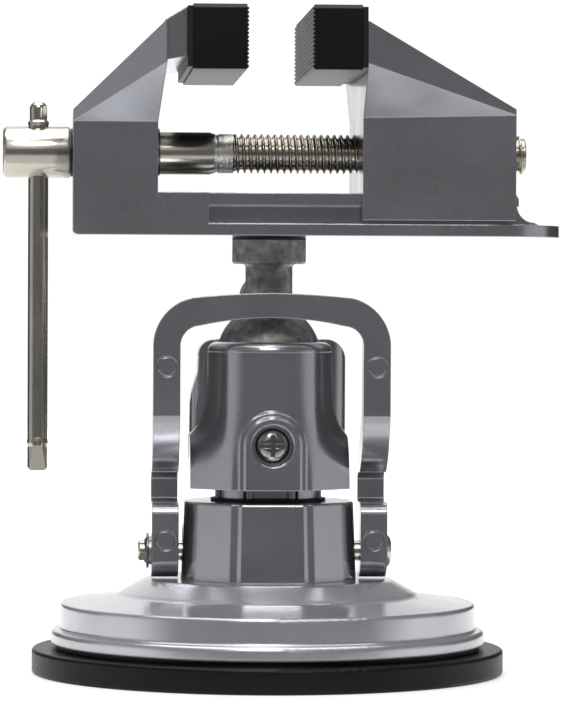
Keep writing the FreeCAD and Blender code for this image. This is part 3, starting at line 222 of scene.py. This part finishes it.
M["black_rubber"] = soft("black_rubber", (0.0045, 0.0045, 0.0047), 0.40, 1500, 0.00003, 0.0005, 0.12)
M["black_rubber"].node_tree.nodes["Principled BSDF"].inputs["Coat Weight"].default_value = 0.12
M["black_rubber"].node_tree.nodes["Principled BSDF"].inputs["Coat Roughness"].default_value = 0.16
M["jaw_rubber"] = soft("jaw_rubber", (0.0040, 0.0040, 0.0042), 0.40, 2200, 0.00002, 0.0003, 0.20)
M["black_plastic"] = soft("black_plastic", (0.008, 0.008, 0.0085), 0.45, 1800, 0.00003)

# lathe-turned steel: fine grooves round the axis spread the light along it
m, t, s = material("turned_steel")
grooves = noise(t, coords(t, (1, 0, 0)), 7000, 2.0, 0.6)
t.links.new(ramp(t, noise(t, coords(t), 90, 3.0), [(0.3, (0.84, 0.82, 0.78)), (0.7, (0.94, 0.92, 0.88))]), s.inputs["Base Color"])
t.links.new(span(t, grooves, 0.22, 0.36, 0.3, 0.7), s.inputs["Roughness"])
bump(t, s, grooves, 0.00012, 1.0)
s.inputs["Metallic"].default_value = 1.0
M["turned_steel"] = m

LOOK = {
    "suction_pad": "black_rubber", "pad_plate": "plated_steel", "pull_stud": "plated_steel", "base_cover": "base_paint", "pedestal": "casting",
    "pedestal_screws": "dark_steel", "lever_axle": "nickel_steel", "axle_clip": "dark_steel", "axle_washers": "plated_steel", "suction_lever": "casting",
    "swivel_washer": "black_plastic", "swivel_bolt": "dark_steel", "socket_front": "casting", "socket_rear": "casting", "clamp_bolt": "bright_steel",
    "clamp_washer": "plated_steel", "clamp_handle": "casting", "ball_stem": "rough_casting", "head_washer": "black_plastic", "head_bolt": "dark_steel",
    "fixed_jaw": "casting", "moving_jaw": "casting", "fixed_grip": "jaw_rubber", "moving_grip": "jaw_rubber", "fixed_grip_plate": "black_plastic",
    "moving_grip_plate": "black_plastic", "lead_screw": "nickel_steel", "thrust_washer": "black_plastic", "retaining_ring": "dark_steel", "t_bar": "nickel_bar"}
for name, o in nodes.items():
    o.data.materials.clear()
    o.data.materials.append(M[LOOK[name]])


# ------------------------------------------------------------------ lead screw with its real thread
def mesh_object(name, verts, faces, mat, body, smooth_angle=35):
    me = bpy.data.meshes.new(name)
    me.from_pydata([tuple(v) for v in verts], [], faces)
    me.update()
    bm = bmesh.new()
    bm.from_mesh(me)
    bmesh.ops.recalc_face_normals(bm, faces=bm.faces)
    limit = math.radians(smooth_angle)
    for e in bm.edges:
        e.smooth = len(e.link_faces) == 2 and e.calc_face_angle(0) < limit
    for f in bm.faces:
        f.smooth = True
    bm.to_mesh(me)
    bm.free()
    o = bpy.data.objects.new(name, me)
    scene.collection.objects.link(o)
    me.materials.append(mat)
    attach(o, body)
    return o


mm = 0.001
AXIS_Z, PITCH = 124.5, 1.5875
CREST, ROOT = 4.78, 3.86
hub = [(-63.8, 0.0), (-63.8, 5.4), (-63.65, 5.75), (-63.3, 6.05), (-62.9, 6.2), (-48.3, 6.2), (-48.05, 6.1), (-47.92, 5.9), (-47.9, 5.1),
       (-27.2, 5.1), (-27.2, 4.5), (-26.4, 4.5), (-26.4, 5.1), (-14.4, 5.1), (-13.4, 4.72), (-13.1, 4.72), (-13.1, 4.45), (-12.4, 4.45), (-12.4, 4.72), (-9.0, 4.72)]
SEG = 56
verts, faces = [], []
rings = []


def ring(x, radius_at):
    start = len(verts)
    for k in range(SEG):
        a = 2 * math.pi * k / SEG
        r = radius_at(a)
        verts.append((x * mm, r * math.cos(a) * mm, (AXIS_Z + r * math.sin(a)) * mm))
    rings.append(start)


def thread_radius(x, a):
    """A rounded V thread, right-handed, fading out at both ends."""
    p = (x / PITCH - a / (2 * math.pi)) % 1.0
    tri = 1 - abs(2 * p - 1)
    tri = min(max((tri - 0.13) / 0.74, 0.0), 1.0)
    tri = tri * tri * (3 - 2 * tri) * 0.35 + tri * 0.65
    r = ROOT + (CREST - ROOT) * tri
    fade = min(1.0, max(0.0, (x + 9.0) / 1.2))
    r = 4.72 * (1 - fade) + r * fade
    return min(r, 3.9 + max(0.0, 61.5 - x))


for x, r in hub[1:]:
    ring(x, lambda a, r=r: r)
x = -8.9
while x < 61.55:
    ring(x, lambda a, x=x: thread_radius(x, a))
    x += PITCH / 12
ring(61.6, lambda a: 3.6)
for a0, a1 in zip(rings, rings[1:]):
    for k in range(SEG):
        faces.append((a0 + k, a0 + (k + 1) % SEG, a1 + (k + 1) % SEG, a1 + k))
for start, x in ((rings[0], -63.8), (rings[-1], 61.6)):
    centre = len(verts)
    verts.append((x * mm, 0, AXIS_Z * mm))
    for k in range(SEG):
        faces.append((start + k, start + (k + 1) % SEG, centre))
screw = mesh_object("lead_screw_threaded", verts, faces, M["nickel_steel"], "screw", 50)
# the cross hole for the sliding bar
cutter = bpy.data.meshes.new("bar_hole")
bm = bmesh.new()
bmesh.ops.create_cone(bm, cap_ends=True, segments=48, radius1=2.45 * mm, radius2=2.45 * mm, depth=30 * mm, matrix=Matrix.Translation((-55.4 * mm, 0, AXIS_Z * mm)))
bm.to_mesh(cutter)
bm.free()
tool = bpy.data.objects.new("bar_hole_tool", cutter)
scene.collection.objects.link(tool)
mod = screw.modifiers.new("bar_hole", "BOOLEAN")
mod.operation, mod.object, mod.solver = "DIFFERENCE", tool, "EXACT"
bpy.context.view_layer.objects.active = screw
bpy.context.view_layer.update()
dg = bpy.context.evaluated_depsgraph_get()
made = bpy.data.meshes.new_from_object(screw.evaluated_get(dg))
screw.modifiers.clear()
screw.data = made
bpy.data.objects.remove(tool)
screw.data.materials.append(M["turned_steel"])
for f in screw.data.polygons:
    if -13.38 * mm < f.center.x < -8.95 * mm:
        f.material_index = len(screw.data.materials) - 1
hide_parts("lead_screw")


# ------------------------------------------------------------------ studio
def plane(name, x0, x1, y0, y1, mat):
    me = bpy.data.meshes.new(name)
    me.from_pydata([(x0, y0, 0), (x1, y0, 0), (x1, y1, 0), (x0, y1, 0)], [], [(0, 1, 2, 3)])
    o = bpy.data.objects.new(name, me)
    me.materials.append(mat)
    scene.collection.objects.link(o)
    o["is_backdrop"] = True
    return o


m, t, s = material("floor")
where = coords(t)
t.links.new(ramp(t, noise(t, where, 3, 2.0), [(0.3, (0.56, 0.562, 0.565)), (0.7, (0.58, 0.58, 0.582))]), s.inputs["Base Color"])
s.inputs["Roughness"].default_value = 0.55
s.inputs["Specular IOR Level"].default_value = 0.15
far = node(t, "ShaderNodeVectorMath", operation="LENGTH")
t.links.new(where, far.inputs[0])
# the floor glows, even white further out and dimmer near the object as a painted soft shadow round it
t.links.new(span(t, far.outputs["Value"], 0.50, 1.05, 0.10, 0.75), s.inputs["Emission Strength"])
s.inputs["Emission Color"].default_value = (1, 1, 1, 1)
floor = plane("floor", -0.36, 0.42, -0.095, 1.7, m)


def area(name, at, look, size, power, size_y=None):
    l = bpy.data.lights.new(name, "AREA")
    l.energy = power
    l.size = size
    if size_y:
        l.shape, l.size_y = "RECTANGLE", size_y
    o = bpy.data.objects.new(name, l)
    o.location = at
    o.rotation_euler = (Vector(look) - Vector(at)).to_track_quat("-Z", "Y").to_euler()
    scene.collection.objects.link(o)
    return o


area("top_box", (-0.05, 0.05, 1.10), (-0.02, 0, 0.05), 1.3, 13.0, 1.1)
area("front_top_box", (-0.10, -1.05, 0.98), (0, 0, 0.08), 0.60, 4.6, 0.28)
world = bpy.data.worlds.new("studio")
world.use_nodes = True
scene.world = world
t = world.node_tree
bg = t.nodes["Background"]
tc = node(t, "ShaderNodeTexCoord")
sep = node(t, "ShaderNodeSeparateXYZ")
t.links.new(tc.outputs["Generated"], sep.inputs["Vector"])


def maths(op, a, b=None):
    n = node(t, "ShaderNodeMath", operation=op)
    for i, v in enumerate((a, b)):
        if v is None:
            continue
        if isinstance(v, (int, float)):
            n.inputs[i].default_value = v
        else:
            t.links.new(v, n.inputs[i])
    return n.outputs[0]


DX, DY, DZ = sep.outputs["X"], sep.outputs["Y"], sep.outputs["Z"]
flat = maths("MAXIMUM", maths("SQRT", maths("ADD", maths("MULTIPLY", DX, DX), maths("MULTIPLY", DY, DY))), 0.001)
cosine = maths("MINIMUM", maths("MAXIMUM", maths("DIVIDE", maths("MULTIPLY", DY, -1.0), flat), -1.0), 1.0)
turn = maths("DIVIDE", maths("ARCCOSINE", cosine), math.pi)


def grey(v, tint=1.03):
    return (v, v, v * tint)


# around the object: dark in front, a light panel at each side, dark flags, the white background behind
low_ring = ramp(t, turn, [(0.0, grey(0.155)), (0.30, grey(0.165)), (0.39, grey(0.56)), (0.565, grey(0.62)), (0.625, grey(0.05)), (0.905, grey(0.05)), (0.940, grey(1.02, 1.0)), (1.0, grey(1.05, 1.0))])
# above it: brighter on the left than on the right
side = maths("DIVIDE", DX, flat)
high_ring = ramp(t, span(t, side, 0.0, 1.0, -1.0, 1.0), [(0.0, grey(0.22)), (0.24, grey(0.34)), (0.36, grey(0.95)), (0.45, grey(1.15)), (0.50, grey(0.88)), (0.575, grey(0.55)), (0.70, grey(0.22)), (1.0, grey(0.14))])
lift = node(t, "ShaderNodeMapRange", interpolation_type="SMOOTHSTEP")
t.links.new(DZ, lift.inputs["Value"])
lift.inputs["From Min"].default_value, lift.inputs["From Max"].default_value = 0.16, 0.42
mix = node(t, "ShaderNodeMix", data_type="RGBA")
t.links.new(lift.outputs["Result"], mix.inputs[0])
t.links.new(low_ring, mix.inputs[6])
t.links.new(high_ring, mix.inputs[7])
# well below the horizon the room is as pale as the table
drop = node(t, "ShaderNodeMapRange", interpolation_type="SMOOTHSTEP")
t.links.new(maths("MULTIPLY", DZ, -1.0), drop.inputs["Value"])
drop.inputs["From Min"].default_value, drop.inputs["From Max"].default_value = 0.17, 0.32
pale = node(t, "ShaderNodeMix", data_type="RGBA")
t.links.new(drop.outputs["Result"], pale.inputs[0])
t.links.new(mix.outputs[2], pale.inputs[6])
pale.inputs[7].default_value = (0.80, 0.80, 0.81, 1)
t.links.new(pale.outputs[2], bg.inputs["Color"])
bg.inputs["Strength"].default_value = 1.0

# ------------------------------------------------------------------ camera, at the photo's place
cam = bpy.data.cameras.new("camera")
camera = bpy.data.objects.new("camera", cam)
scene.collection.objects.link(camera)
scene.camera = camera
F, XV, YV = 3855.0, 51.0, 298.0
cam.sensor_fit = "VERTICAL"
cam.sensor_width = cam.sensor_height = 36.0
cam.lens = F / 704.0 * 36.0
camera.location = (-0.0522, -0.925, 0.0899)
dx, dz = (281.0 - XV) / F, -(352.0 - YV) / F
look = Vector((dx, 1.0, dz)).normalized()
base_q = look.to_track_quat("-Z", "Y")
camera.rotation_mode = "QUATERNION"
from mathutils import Quaternion
camera.rotation_quaternion = Quaternion(look, math.radians(-0.26)) @ base_q
cam.clip_start, cam.clip_end = 0.05, 50

low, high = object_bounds()
